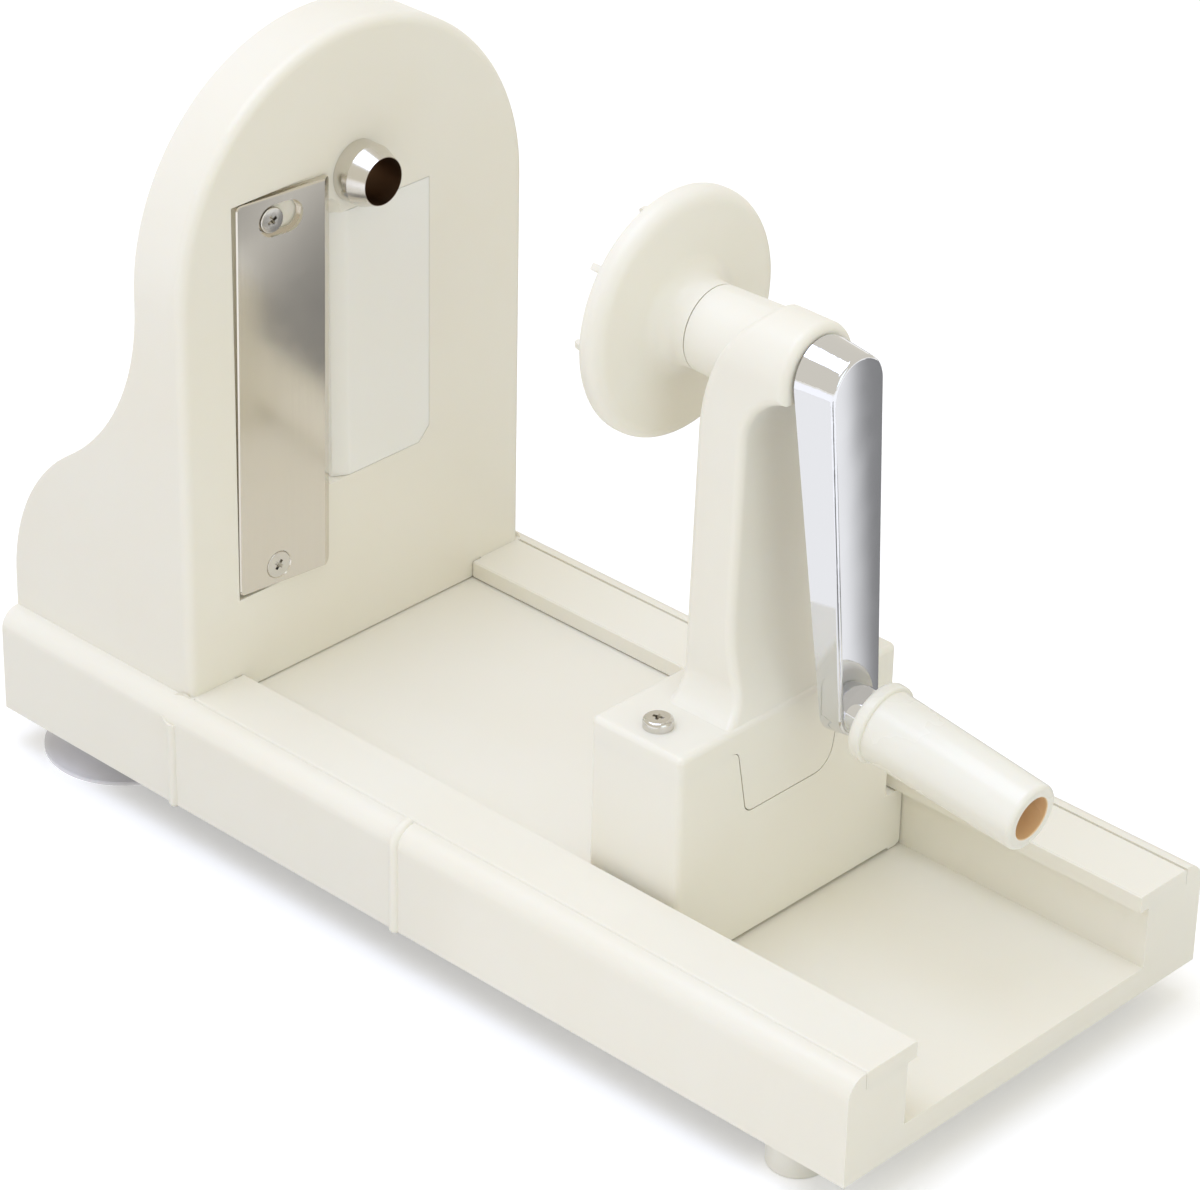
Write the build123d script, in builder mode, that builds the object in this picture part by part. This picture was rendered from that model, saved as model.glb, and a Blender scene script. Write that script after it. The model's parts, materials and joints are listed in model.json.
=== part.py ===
from build123d import *
from math import acos, cos, radians, sin, tan
import os

os.makedirs("parts", exist_ok=True)

# Hand-cranked turning slicer. Millimetres, +Z up, the table at Z = 0.
# +X points to the crank end and the origin is under the middle of the base.

# ---------------------------------------------------------------- driving sizes
# Base tray: a floor between two box rails
BASE_LENGTH = 271.0
BASE_WIDTH = 120.0
BASE_HEIGHT = 27.0
FOOT_HEIGHT = 10.0
FLOOR_RISE = 6.8
RAIL_WIDTH = 19.0
RAIL_ROUND = 5.0
SKIN = 2.6
RIB = 1.8
RIB_PITCH = 45.0
RIB_ROW_PITCH = 21.0
RIB_RELIEF = 1.0

# Rail caps: strips let into the rail tops, with a lip over the carriage
CAP_THICKNESS = 4.2
CAP_INSET = 5.5
CAP_LIP = 2.9
CAP_ROUND = 1.0
CAP_JOINT = 0.12
CAP_BEVEL = 0.35
PEG_RADIUS = 2.0
PEG_LENGTH = 2.2
PEG_COUNT = 3
PEG_PITCH = 80.0

# Half-round beads that wrap the outer side of the base
BEAD_RADIUS = 1.4
BEAD_PROUD = 1.0

# Blade housing: an arched shell, open at the back
HOUSING_INSET = 5.3
HOUSING_DEPTH = 62.4
RIM_DEPTH = 15.6
ARCH_CENTRE_RISE = 100.0
CURVE_TOP_RISE = 97.0
HOLLOW_RADIUS = 58.0
SHOULDER_RADIUS = 50.0
CHEEK = 3.0
FRONT_WALL = 5.0
FOOT_PLATE = 4.0
FRONT_ROUND = 2.5
HOUSING_SCREW_INSET = 11.0
HOUSING_SCREW_FROM_SIDE = 12.0
HOUSING_BOSS_HEIGHT = 13.0

# Coring tube, on the axis that the crank and the food holder share
AXIS_RISE = 118.4
TUBE_RADIUS = 7.5
TUBE_BORE = 5.7
TUBE_PROUD = 8.7
TUBE_BEVEL = 4.4
TUBE_LIP = 0.15
TUBE_BOSS_WALL = 3.5
TUBE_BOSS_LENGTH = 9.0
TUBE_FLANGE = 1.6
TUBE_FLANGE_THICKNESS = 1.2

# Blade, turned a little about the vertical so that its edge stands proud
BLADE_WIDTH = 27.6
BLADE_LENGTH = 100.3
BLADE_THICKNESS = 2.2
BLADE_TILT = 5.5
BLADE_LEAN = 0.7
BLADE_SINK = 0.1
BLADE_CORNER = 1.4
BLADE_EDGE_BREAK = 0.3
BEVEL_WIDTH = 2.6
BEVEL_EDGE = 0.25
PIVOT_Y = -26.9
PIVOT_RISE = 25.7
PIVOT_FROM_BACK_EDGE = 11.3
PIVOT_FROM_BOTTOM = 5.0
SLOT_ABOVE_PIVOT = 89.2
SLOT_RADIUS = 3.95
SLOT_TRAVEL = 4.6
SLOT_SHELF = 0.6
SLOT_SHELF_WIDTH = 0.6
SEAT_GAP = 0.1
SEAT_MARGIN = 0.5

# Throat plate beside the blade, and the slit that the slices fall through
THROAT_LEFT = -7.0
THROAT_RIGHT = 23.1
THROAT_LOW_RISE = 40.3
THROAT_HIGH_RISE = 109.2
THROAT_CREASE = -3.2
THROAT_DROP = 2.0
THROAT_CORNER = 3.5
THROAT_FLANGE = 2.0
THROAT_FLANGE_THICKNESS = 1.6
SLIT_WIDTH = 6.4
SCOOP_RADIUS = 6.0
SCOOP_PROUD = 3.2
JOINT_LINE = 0.12

# Carriage: sliding deck with the crank block at its front end
DECK_LENGTH = 196.7
DECK_PLATE = 3.0
DECK_ROUND = 1.6
BLOCK_BACK = 37.2
BLOCK_LENGTH = 27.0
BLOCK_CLEARANCE = 2.3
BLOCK_RISE = 34.9
BLOCK_WALL = 3.0
BLOCK_ROUND = 1.6
SLIDE_GAP = 0.4
FLOOR_GAP = 0.3
RUNNER_WIDTH = 4.0
RUNNER_HEIGHT = 0.6

# Crank stand: flange, tongue, column, head and barrel in one moulding
FLANGE_THICKNESS = 5.8
FLANGE_ROUND = 1.5
COLUMN_DEPTH = 13.5
COLUMN_FROM_BACK = 6.8
COLUMN_FOOT_HALF = 14.0
COLUMN_TOP_HALF = 11.6
COLUMN_ROUND = 2.0
COLUMN_BOW = 29.0
COLUMN_BOW_DEPTH = 12.0
FLARE_RADIUS = 7.5
FLARE_ANGLE = 62.0
FOOT_DEPTH = 2.0
SWEEP_HEIGHT = 24.0
BARREL_RADIUS = 10.0
BARREL_PROUD = 6.0
SADDLE_RADIUS = 10.6
HEAD_PROUD = 10.4
HEAD_DROP = 4.0
NECK_DROP = 16.0
TONGUE_TOP_HALF = 17.0
TONGUE_LOW_HALF = 13.8
TONGUE_DROP = 17.0
TONGUE_THICKNESS = 4.0
TONGUE_TIGHT = 2.4
TONGUE_WIDE = 6.0
TONGUE_NECK = 2.0
TONGUE_GAP = 0.3
STAND_SCREW_FROM_SIDE = 7.2
STAND_SCREW_GRIP = 15.0

# Shaft and food holder
SHAFT_RADIUS = 4.0
SHAFT_FLAT = 3.1
SHAFT_FIT = 0.05
SHAFT_THREAD = 9.0
SPIN_GAP = 0.3
HOLDER_RADIUS = 28.8
HOLDER_THICKNESS = 5.6
HOLDER_ROUND = 3.4
HOLDER_EDGE = 1.2
HUB_LENGTH = 7.7
HUB_FLARE = 5.0
HUB_WEB = 1.8
HUB_RECESS = 3.2
HUB_RECESS_RADIUS = 5.0
PRONG_COUNT = 8
PRONG_RING = 22.6
PRONG_LENGTH = 6.2
PRONG_WIDTH = 5.0
PRONG_THICKNESS = 1.6
PRONG_TIP = 0.5
PRONG_START = 7.0
INNER_PRONG_COUNT = 4
INNER_PRONG_RING = 11.5

# Crank arm: thick at the hub, thin and narrow at the grip
ARM_THROW = 81.2
ARM_SWING = 4.4
ARM_HUB_HALF = 8.1
ARM_END_HALF = 6.3
ARM_HUB_DEPTH = 10.0
ARM_LEAN = 2.9
ARM_DRAFT = 6.5
ARM_ROUND = 0.9
ARM_BOSS_RADIUS = 5.6
ARM_BOSS_PROUD = 3.8

# Grip: a tapered hollow knob that droops a little from the shaft's direction
GRIP_DROOP = 7.4
GRIP_FLANGE_RADIUS = 9.6
GRIP_FLANGE_THICKNESS = 3.4
GRIP_FLANGE_ROUND = 1.4
GRIP_ROOT_RADIUS = 8.6
GRIP_END_RADIUS = 8.0
GRIP_LENGTH = 44.7
GRIP_END_ROUND = 1.1
GRIP_BORE_RADIUS = 5.15
GRIP_BEARING_LENGTH = 14.0
PIN_RADIUS = 3.0
PIN_SEAT = 7.0
PIN_HEAD_RADIUS = 4.2
PIN_HEAD_HEIGHT = 2.0
WASHER_THICKNESS = 0.8
WASHER_RADIUS = 4.8

# Screws and feet
SCREW_RADIUS = 2.0
SCREW_FIT = 0.02
SCREW_CLEARANCE = 0.2
HEAD_RADIUS = 3.55
HEAD_HEIGHT = 2.4
HEAD_ROUND = 1.1
FLAT_HEAD_HEIGHT = 1.3
CROSS_LENGTH = 4.0
CROSS_WIDTH = 0.9
CROSS_DEPTH = 1.2
FRONT_FOOT_RADIUS = 7.0
FRONT_FOOT_ROUND = 0.8
FRONT_FOOT_INSET = 21.9
FRONT_FOOT_FROM_SIDE = 10.5
CUP_RADIUS = 20.0
CUP_RIM = 1.0
CUP_INSET = 20.5
CUP_NECK = 7.0
CUP_NECK_HEIGHT = 3.2
CUP_HOLLOW = 4.4
CUP_BULGE = 1.4
STUD_RADIUS = 3.0
STUD_LENGTH = 5.0

# ---------------------------------------------------------------- derived places
FRONT_X = BASE_LENGTH / 2
BACK_X = -FRONT_X
SIDE_Y = BASE_WIDTH / 2
WALL_Y = SIDE_Y - RAIL_WIDTH
BASE_Z = FOOT_HEIGHT
FLOOR_Z = BASE_Z + FLOOR_RISE
RAIL_Z = BASE_Z + BASE_HEIGHT
LIP_Z = RAIL_Z - CAP_THICKNESS
SHELF_Z = LIP_Z - SKIN
CAP_OUTER_Y = SIDE_Y - CAP_INSET
CAP_INNER_Y = WALL_Y - CAP_LIP
PEG_Y = (WALL_Y + CAP_OUTER_Y) / 2

FACE_X = BACK_X + HOUSING_DEPTH
RIM_X = FACE_X - RIM_DEPTH
INNER_FACE_X = FACE_X - FRONT_WALL
CHEEK_Y = SIDE_Y - HOUSING_INSET
ARCH_Z = RAIL_Z + ARCH_CENTRE_RISE
AXIS_Z = RAIL_Z + AXIS_RISE
THROAT_LOW = RAIL_Z + THROAT_LOW_RISE
THROAT_HIGH = RAIL_Z + THROAT_HIGH_RISE
THROAT_MID = (THROAT_LOW + THROAT_HIGH) / 2

DECK_Z = LIP_Z - SLIDE_GAP
DECK_Y = WALL_Y - SLIDE_GAP
RUNNER_Z = FLOOR_Z + FLOOR_GAP
SLAB_Z = RUNNER_Z + RUNNER_HEIGHT
BLOCK_FRONT = BLOCK_BACK + BLOCK_LENGTH
BLOCK_X = BLOCK_BACK + BLOCK_LENGTH / 2
BLOCK_Z = DECK_Z + BLOCK_RISE
BLOCK_WIDTH = 2 * (CAP_INNER_Y - BLOCK_CLEARANCE)
DECK_BACK = BLOCK_FRONT - DECK_LENGTH
FLANGE_Z = BLOCK_Z + FLANGE_THICKNESS

COLUMN_BACK = BLOCK_BACK + COLUMN_FROM_BACK
COLUMN_FRONT = COLUMN_BACK + COLUMN_DEPTH
COLUMN_TOP = AXIS_Z + COLUMN_TOP_HALF
BARREL_BACK = COLUMN_BACK - BARREL_PROUD
HEAD_FRONT = COLUMN_FRONT + HEAD_PROUD
HUB_BACK = BARREL_BACK - SPIN_GAP
HOLDER_REAR = HUB_BACK - HUB_LENGTH
HOLDER_FRONT = HOLDER_REAR - HOLDER_THICKNESS
SHAFT_START = HOLDER_FRONT + HUB_RECESS + HUB_WEB

# the arm's back face leans, so its hub is set off to clear the head at the top too
ARM_BACK = HEAD_FRONT + SPIN_GAP + COLUMN_TOP_HALF * tan(radians(ARM_LEAN))
ARM_FRONT = ARM_BACK + ARM_HUB_DEPTH
SHAFT_END = ARM_FRONT - SKIN

SHAFT_AXIS = Axis((0, 0, AXIS_Z), (1, 0, 0))
SIDES = {"left": -1, "right": 1}
ON_BASE = (Align.CENTER, Align.CENTER, Align.MIN)
UNDER_TOP = (Align.CENTER, Align.CENTER, Align.MAX)


def turned(plane, angle):
    """The same plane, turned about its own normal by an angle in degrees."""
    across = plane.x_dir.rotate(Axis((0, 0, 0), plane.z_dir), angle)
    return Plane(plane.origin, x_dir=across, z_dir=plane.z_dir)


# Seat frame of the blade: x across to its cutting edge, y up, z out of its front
TILT = radians(BLADE_TILT)
SEAT_NORMAL = (cos(TILT), -sin(TILT), 0)
SEAT_ACROSS = (sin(TILT), cos(TILT), 0)
SEAT_X = FACE_X - (BLADE_SINK + BLADE_THICKNESS) * cos(TILT) + PIVOT_FROM_BACK_EDGE * sin(TILT)
SEAT = Plane(origin=(SEAT_X, PIVOT_Y, RAIL_Z + PIVOT_RISE), x_dir=SEAT_ACROSS, z_dir=SEAT_NORMAL)

# Crank frame: the arm hangs along CRANK_DOWN, swung a little from the vertical
SWING = radians(ARM_SWING)
LEAN = radians(ARM_LEAN)
DROOP = radians(GRIP_DROOP)
CRANK_ACROSS = (0, cos(SWING), sin(SWING))
CRANK_DOWN = (0, sin(SWING), -cos(SWING))
ARM_BACK_NORMAL = (cos(LEAN), -sin(LEAN) * CRANK_DOWN[1], -sin(LEAN) * CRANK_DOWN[2])
GRIP_AXIS = (cos(DROOP), sin(DROOP) * CRANK_DOWN[1], sin(DROOP) * CRANK_DOWN[2])


def crank_plane(x, down=0.0, normal=(1, 0, 0)):
    """A plane on the swung arm, at a place along the shaft and a distance down the arm."""
    origin = (x, down * CRANK_DOWN[1], AXIS_Z + down * CRANK_DOWN[2])
    return Plane(origin=origin, x_dir=CRANK_ACROSS, z_dir=normal)


ARM_FACE = crank_plane(ARM_FRONT)
ARM_SEAT = crank_plane(ARM_BACK, 0, ARM_BACK_NORMAL)
GRIP_ROOT = crank_plane(ARM_FRONT, ARM_THROW, GRIP_AXIS)


# ---------------------------------------------------------------- shared shapes
def save(builder, name):
    """Label one finished piece and write it as its own STEP file."""
    builder.part.label = name
    export_step(builder.part, f"parts/{name}.step")


def disc(plane, radius, amount, spots=((0, 0),), mode=Mode.ADD):
    """Round bars in the open part, raised from circles at the given spots of a plane."""
    with BuildSketch(plane) as face:
        with Locations(*spots):
            Circle(radius)
    extrude(face.sketch, amount=amount, mode=mode)


def d_socket(plane, depth):
    """D-shaped socket for one end of the shaft, cut into the open part."""
    with BuildSketch(plane) as section:
        Circle(SHAFT_RADIUS + SCREW_FIT)
        with Locations((0, SHAFT_FLAT + SCREW_FIT)):
            Rectangle(
                2 * SHAFT_RADIUS,
                SHAFT_RADIUS,
                align=(Align.CENTER, Align.MIN),
                mode=Mode.SUBTRACT,
            )
    extrude(section.sketch, amount=depth, mode=Mode.SUBTRACT)


def cross_recess(top):
    """Cross recess cut down from a screw head's top plane in the open part."""
    with BuildSketch(top) as cross:
        Rectangle(CROSS_LENGTH, CROSS_WIDTH)
        Rectangle(CROSS_WIDTH, CROSS_LENGTH)
    extrude(cross.sketch, amount=-CROSS_DEPTH, mode=Mode.SUBTRACT)


def pan_screw(seat, length):
    """Pan-head screw in the open part: its head stands on the seat plane."""
    with BuildSketch(Plane.XZ) as half:
        with BuildLine():
            Polyline(
                (0, -length),
                (SCREW_RADIUS, -length),
                (SCREW_RADIUS, 0),
                (HEAD_RADIUS, 0),
                (HEAD_RADIUS, HEAD_HEIGHT),
                (0, HEAD_HEIGHT),
                close=True,
            )
        make_face()
        fillet(half.vertices().sort_by_distance((HEAD_RADIUS, HEAD_HEIGHT))[0], HEAD_ROUND)
    screw = revolve(half.sketch, axis=Axis.Z, mode=Mode.PRIVATE)
    add(screw.moved(seat.location))
    cross_recess(seat.offset(HEAD_HEIGHT))


# ---------------------------------------------------------------- base tray
FOOT_ROW = SIDE_Y - FRONT_FOOT_FROM_SIDE
FOOT_SPOTS = [(FRONT_X - FRONT_FOOT_INSET, side * FOOT_ROW) for side in SIDES.values()]
CUP_SPOTS = [(BACK_X + CUP_INSET, side * (SIDE_Y - CUP_INSET)) for side in SIDES.values()]
HOUSING_SCREW_SPOTS = [
    (x, side * (SIDE_Y - HOUSING_SCREW_FROM_SIDE))
    for x in (BACK_X + HOUSING_SCREW_INSET, FACE_X - HOUSING_SCREW_INSET)
    for side in SIDES.values()
]
CAP_BACK_X = FACE_X + SPIN_GAP
CAP_LENGTH = FRONT_X - CAP_BACK_X
CAP_MID_X = (CAP_BACK_X + FRONT_X) / 2
PEG_START = CAP_MID_X - (PEG_COUNT - 1) * PEG_PITCH / 2
PEG_ROW = [PEG_START + step * PEG_PITCH for step in range(PEG_COUNT)]
RIB_HEIGHT = FLOOR_RISE - SKIN - RIB_RELIEF


def bead(x, side):
    """Half-round bead of the base: up the outer side of a rail and over its round."""
    inset = BEAD_RADIUS - BEAD_PROUD
    low = (side * (SIDE_Y - inset), BASE_Z + inset)
    shoulder = (side * (SIDE_Y - inset), RAIL_Z - RAIL_ROUND)
    with BuildLine(Plane.YZ.offset(x)) as path:
        Line(low, shoulder)
        TangentArc(shoulder, (side * (SIDE_Y - RAIL_ROUND), RAIL_Z - inset), tangent=(0, 1))
    with BuildSketch(Plane(origin=path.line @ 0, z_dir=path.line % 0)) as section:
        Circle(BEAD_RADIUS)
    sweep(section.sketch, path=path.line)
    with Locations(path.line @ 0):
        Sphere(BEAD_RADIUS)


with BuildPart() as base_tray:
    with BuildSketch(Plane.YZ.offset(BACK_X)) as tray_section:
        with BuildLine():
            Polyline(
                (-SIDE_Y, BASE_Z),
                (SIDE_Y, BASE_Z),
                (SIDE_Y, RAIL_Z),
                (WALL_Y, RAIL_Z),
                (WALL_Y, FLOOR_Z),
                (-WALL_Y, FLOOR_Z),
                (-WALL_Y, RAIL_Z),
                (-SIDE_Y, RAIL_Z),
                close=True,
            )
        make_face()
        top_corners = tray_section.vertices().group_by(Axis.Y)[-1].sort_by(Axis.X)
        fillet([top_corners[0], top_corners[-1]], RAIL_ROUND)
    extrude(amount=BASE_LENGTH)
    for side in SIDES.values():
        # shelf for the cap, from the housing to the front end
        with Locations((CAP_MID_X, side * PEG_Y, LIP_Z)):
            Box(CAP_LENGTH, CAP_OUTER_Y - WALL_Y, CAP_THICKNESS, align=ON_BASE, mode=Mode.SUBTRACT)
        # the rail is a box, open below
        with Locations((0, side * (WALL_Y + SIDE_Y) / 2, BASE_Z)):
            Box(
                BASE_LENGTH - 2 * SKIN,
                RAIL_WIDTH - 2 * SKIN,
                SHELF_Z - BASE_Z,
                align=ON_BASE,
                mode=Mode.SUBTRACT,
            )
        disc(
            Plane.XY.offset(LIP_Z),
            PEG_RADIUS + SHAFT_FIT,
            -SKIN,
            [(x, side * PEG_Y) for x in PEG_ROW],
            Mode.SUBTRACT,
        )
    # hollow below the floor, with stiffening ribs
    with Locations((0, 0, BASE_Z)):
        Box(BASE_LENGTH - 2 * SKIN, 2 * WALL_Y, FLOOR_RISE - SKIN, align=ON_BASE, mode=Mode.SUBTRACT)
    with Locations((0, 0, FLOOR_Z - SKIN)):
        with GridLocations(RIB_PITCH, 0, int(BASE_LENGTH / RIB_PITCH), 1):
            Box(RIB, 2 * WALL_Y, RIB_HEIGHT, align=UNDER_TOP)
        with GridLocations(0, RIB_ROW_PITCH, 1, int(2 * WALL_Y / RIB_ROW_PITCH)):
            Box(BASE_LENGTH - SKIN, RIB, RIB_HEIGHT, align=UNDER_TOP)
    # bosses over the front feet and the cups, and their stud holes
    disc(Plane.XY.offset(BASE_Z), FRONT_FOOT_RADIUS - SKIN / 2, SHELF_Z - BASE_Z, FOOT_SPOTS)
    disc(Plane.XY.offset(BASE_Z), STUD_RADIUS + SKIN, FLOOR_RISE - SKIN, CUP_SPOTS)
    disc(
        Plane.XY.offset(BASE_Z),
        STUD_RADIUS + SHAFT_FIT,
        STUD_LENGTH + SHAFT_FIT,
        FOOT_SPOTS + CUP_SPOTS,
        Mode.SUBTRACT,
    )
    # clearance holes for the screws that hold the housing from below
    disc(
        Plane.XY.offset(RAIL_Z),
        SCREW_RADIUS + SCREW_CLEARANCE,
        SHELF_Z - RAIL_Z,
        HOUSING_SCREW_SPOTS,
        Mode.SUBTRACT,
    )
    # beads at the housing's front face and at mid-length
    for bead_x in (FACE_X - BEAD_RADIUS, 0):
        for side in SIDES.values():
            bead(bead_x, side)
save(base_tray, "base_tray")

# ---------------------------------------------------------------- rail caps
for name, side in SIDES.items():
    with BuildPart() as rail_cap:
        with BuildSketch(Plane.YZ.offset(CAP_BACK_X)) as strip:
            with Locations((side * (CAP_OUTER_Y - CAP_JOINT + CAP_INNER_Y) / 2, LIP_Z)):
                Rectangle(
                    CAP_OUTER_Y - CAP_JOINT - CAP_INNER_Y,
                    CAP_THICKNESS,
                    align=(Align.CENTER, Align.MIN),
                )
            corners = strip.vertices().group_by(Axis.Y)[-1].sort_by(Axis.X)
            lip_corner, seam_corner = corners[::-side]
            chamfer(seam_corner, CAP_BEVEL)
            fillet(strip.vertices().sort_by_distance(lip_corner)[0], CAP_ROUND)
        extrude(amount=CAP_LENGTH)
        pegs = [(x, side * PEG_Y) for x in PEG_ROW]
        disc(Plane.XY.offset(LIP_Z), PEG_RADIUS, -PEG_LENGTH, pegs)
    save(rail_cap, f"rail_cap_{name}")

# ---------------------------------------------------------------- blade housing
CURVE_TURN = acos(1 - (RIM_X - BACK_X) / (HOLLOW_RADIUS + SHOULDER_RADIUS))
CURVE_TOP = (RIM_X, RAIL_Z + CURVE_TOP_RISE)
CURVE_MID = (
    RIM_X - HOLLOW_RADIUS * (1 - cos(CURVE_TURN)),
    RAIL_Z + CURVE_TOP_RISE - HOLLOW_RADIUS * sin(CURVE_TURN),
)
CURVE_LOW = (BACK_X, CURVE_MID[1] - SHOULDER_RADIUS * sin(CURVE_TURN))
SKIRT_DROP = RAIL_Z - DECK_Z - SLIDE_GAP
SCREW_BOSS = SCREW_RADIUS + SKIN
SLIT_LEFT = THROAT_LEFT - SLIT_WIDTH
BLADE_SCREW_SPOTS = [(0, 0), (0, SLOT_ABOVE_PIVOT)]


def arch_face(half_width, low_z):
    """Arched outline in the open sketch: straight sides, then a half round on top."""
    with BuildLine() as outline:
        Polyline((-half_width, ARCH_Z), (-half_width, low_z), (half_width, low_z), (half_width, ARCH_Z))
        ThreePointArc((half_width, ARCH_Z), (0, ARCH_Z + half_width), (-half_width, ARCH_Z))
    make_face(outline.edges())


with BuildPart() as blade_housing:
    with BuildSketch(Plane.YZ.offset(BACK_X)):
        arch_face(CHEEK_Y, RAIL_Z)
    extrude(amount=HOUSING_DEPTH)
    # side outline: flat front, thin rim, hollow curve and rounded shoulder
    with BuildSketch(Plane.XZ):
        with BuildLine():
            hollow = TangentArc(CURVE_TOP, CURVE_MID, tangent=(0, -1))
            TangentArc(CURVE_MID, CURVE_LOW, tangent=hollow % 1)
            Polyline(
                CURVE_LOW,
                (BACK_X, RAIL_Z),
                (FACE_X, RAIL_Z),
                (FACE_X, ARCH_Z + CHEEK_Y),
                (RIM_X, ARCH_Z + CHEEK_Y),
                CURVE_TOP,
            )
        make_face()
    extrude(amount=BASE_WIDTH, both=True, mode=Mode.INTERSECT)
    front_edges = blade_housing.faces().sort_by(Axis.X)[-1].edges()
    fillet([e for e in front_edges if e.center().Z > RAIL_Z + SKIN], FRONT_ROUND)
    # shell: one cavity open to the back, and a gap between the two foot plates
    with BuildSketch(Plane.YZ.offset(BACK_X)):
        arch_face(CHEEK_Y - CHEEK, RAIL_Z + FOOT_PLATE)
    extrude(amount=HOUSING_DEPTH - FRONT_WALL, mode=Mode.SUBTRACT)
    with Locations((BACK_X, 0, RAIL_Z)):
        Box(
            HOUSING_DEPTH - FRONT_WALL,
            2 * WALL_Y,
            FOOT_PLATE,
            align=(Align.MIN, Align.CENTER, Align.MIN),
            mode=Mode.SUBTRACT,
        )
    # skirt of the front wall, down between the rails to just over the deck
    with Locations((FACE_X, 0, RAIL_Z)):
        Box(
            FRONT_WALL,
            2 * (WALL_Y - SPIN_GAP),
            SKIRT_DROP,
            align=(Align.MAX, Align.CENTER, Align.MAX),
        )
    # screw bosses on the foot plates, behind the tube and behind the blade's screws
    disc(
        Plane.XY.offset(RAIL_Z + FOOT_PLATE),
        SCREW_BOSS,
        HOUSING_BOSS_HEIGHT - FOOT_PLATE,
        HOUSING_SCREW_SPOTS,
    )
    disc(
        Plane.YZ.offset(INNER_FACE_X),
        TUBE_RADIUS + TUBE_BOSS_WALL,
        -TUBE_BOSS_LENGTH,
        [(0, AXIS_Z)],
    )
    disc(SEAT.offset(-SEAT_GAP - SKIN), SCREW_BOSS, -FRONT_WALL - SKIN, BLADE_SCREW_SPOTS)
    # tapered seat of the blade: deepest at its back edge, running out towards the slit
    with BuildSketch(SEAT.offset(-SEAT_GAP)):
        with Locations((-PIVOT_FROM_BACK_EDGE - SEAT_MARGIN, -PIVOT_FROM_BOTTOM - SEAT_MARGIN)):
            Rectangle(
                BLADE_WIDTH + 2 * SEAT_MARGIN,
                BLADE_LENGTH + 2 * SEAT_MARGIN,
                align=(Align.MIN, Align.MIN),
            )
    extrude(amount=FRONT_WALL, mode=Mode.SUBTRACT)
    # window for the throat plate, with the slit beside the blade's edge
    with BuildSketch(Plane.YZ.offset(FACE_X)) as window:
        with Locations((THROAT_RIGHT + JOINT_LINE, THROAT_MID)):
            Rectangle(
                THROAT_RIGHT - SLIT_LEFT + JOINT_LINE,
                THROAT_HIGH - THROAT_LOW + 2 * JOINT_LINE,
                align=(Align.MAX, Align.CENTER),
            )
        chamfer(window.vertices().group_by(Axis.Y)[0].sort_by(Axis.X)[-1], THROAT_CORNER)
    extrude(amount=-FRONT_WALL, mode=Mode.SUBTRACT)
    # scooped end of the slit, below the tube
    with Locations((FACE_X + SCOOP_PROUD, (SLIT_LEFT + THROAT_LEFT) / 2, THROAT_HIGH)):
        Sphere(SCOOP_RADIUS, mode=Mode.SUBTRACT)
    # holes: coring tube, blade screws, housing screws
    disc(
        Plane.YZ.offset(FACE_X),
        TUBE_RADIUS + SCREW_FIT,
        -FRONT_WALL - TUBE_BOSS_LENGTH,
        [(0, AXIS_Z)],
        Mode.SUBTRACT,
    )
    disc(SEAT, SCREW_RADIUS + SCREW_FIT, -FRONT_WALL - SKIN, BLADE_SCREW_SPOTS, Mode.SUBTRACT)
    disc(
        Plane.XY.offset(RAIL_Z),
        SCREW_RADIUS + SCREW_FIT,
        HOUSING_BOSS_HEIGHT - SKIN,
        HOUSING_SCREW_SPOTS,
        Mode.SUBTRACT,
    )
save(blade_housing, "blade_housing")

HOUSING_SCREW_LENGTH = RAIL_Z - SHELF_Z + HOUSING_BOSS_HEIGHT - 2 * SKIN
with BuildPart() as housing_screws:
    for spot in HOUSING_SCREW_SPOTS:
        pan_screw(Plane(origin=(*spot, SHELF_Z), z_dir=(0, 0, -1)), HOUSING_SCREW_LENGTH)
save(housing_screws, "housing_screws")

# ---------------------------------------------------------------- throat plate
with BuildPart() as throat_plate:
    with BuildSketch(Plane.XY.offset(THROAT_LOW)) as throat_section:
        with BuildLine():
            Polyline(
                (INNER_FACE_X, THROAT_LEFT),
                (FACE_X - THROAT_DROP, THROAT_LEFT),
                (FACE_X, THROAT_CREASE),
                (FACE_X, THROAT_RIGHT),
                (INNER_FACE_X, THROAT_RIGHT),
                close=True,
            )
        make_face()
        fillet(throat_section.vertices().sort_by_distance((FACE_X, THROAT_CREASE))[0], THROAT_DROP)
    extrude(amount=THROAT_HIGH - THROAT_LOW)
    low_corner = throat_plate.edges().filter_by(Axis.X).group_by(Axis.Z)[0].sort_by(Axis.Y)[-1]
    chamfer(low_corner, THROAT_CORNER)
    # flange behind the wall, from the plate's foot up to the tube's boss
    with Locations((INNER_FACE_X, THROAT_LEFT, THROAT_LOW)):
        Box(
            THROAT_FLANGE_THICKNESS,
            THROAT_RIGHT - THROAT_LEFT + THROAT_FLANGE,
            AXIS_Z - TUBE_RADIUS - TUBE_BOSS_WALL - SPIN_GAP - THROAT_LOW,
            align=(Align.MAX, Align.MIN, Align.MIN),
        )
save(throat_plate, "throat_plate")

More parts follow.
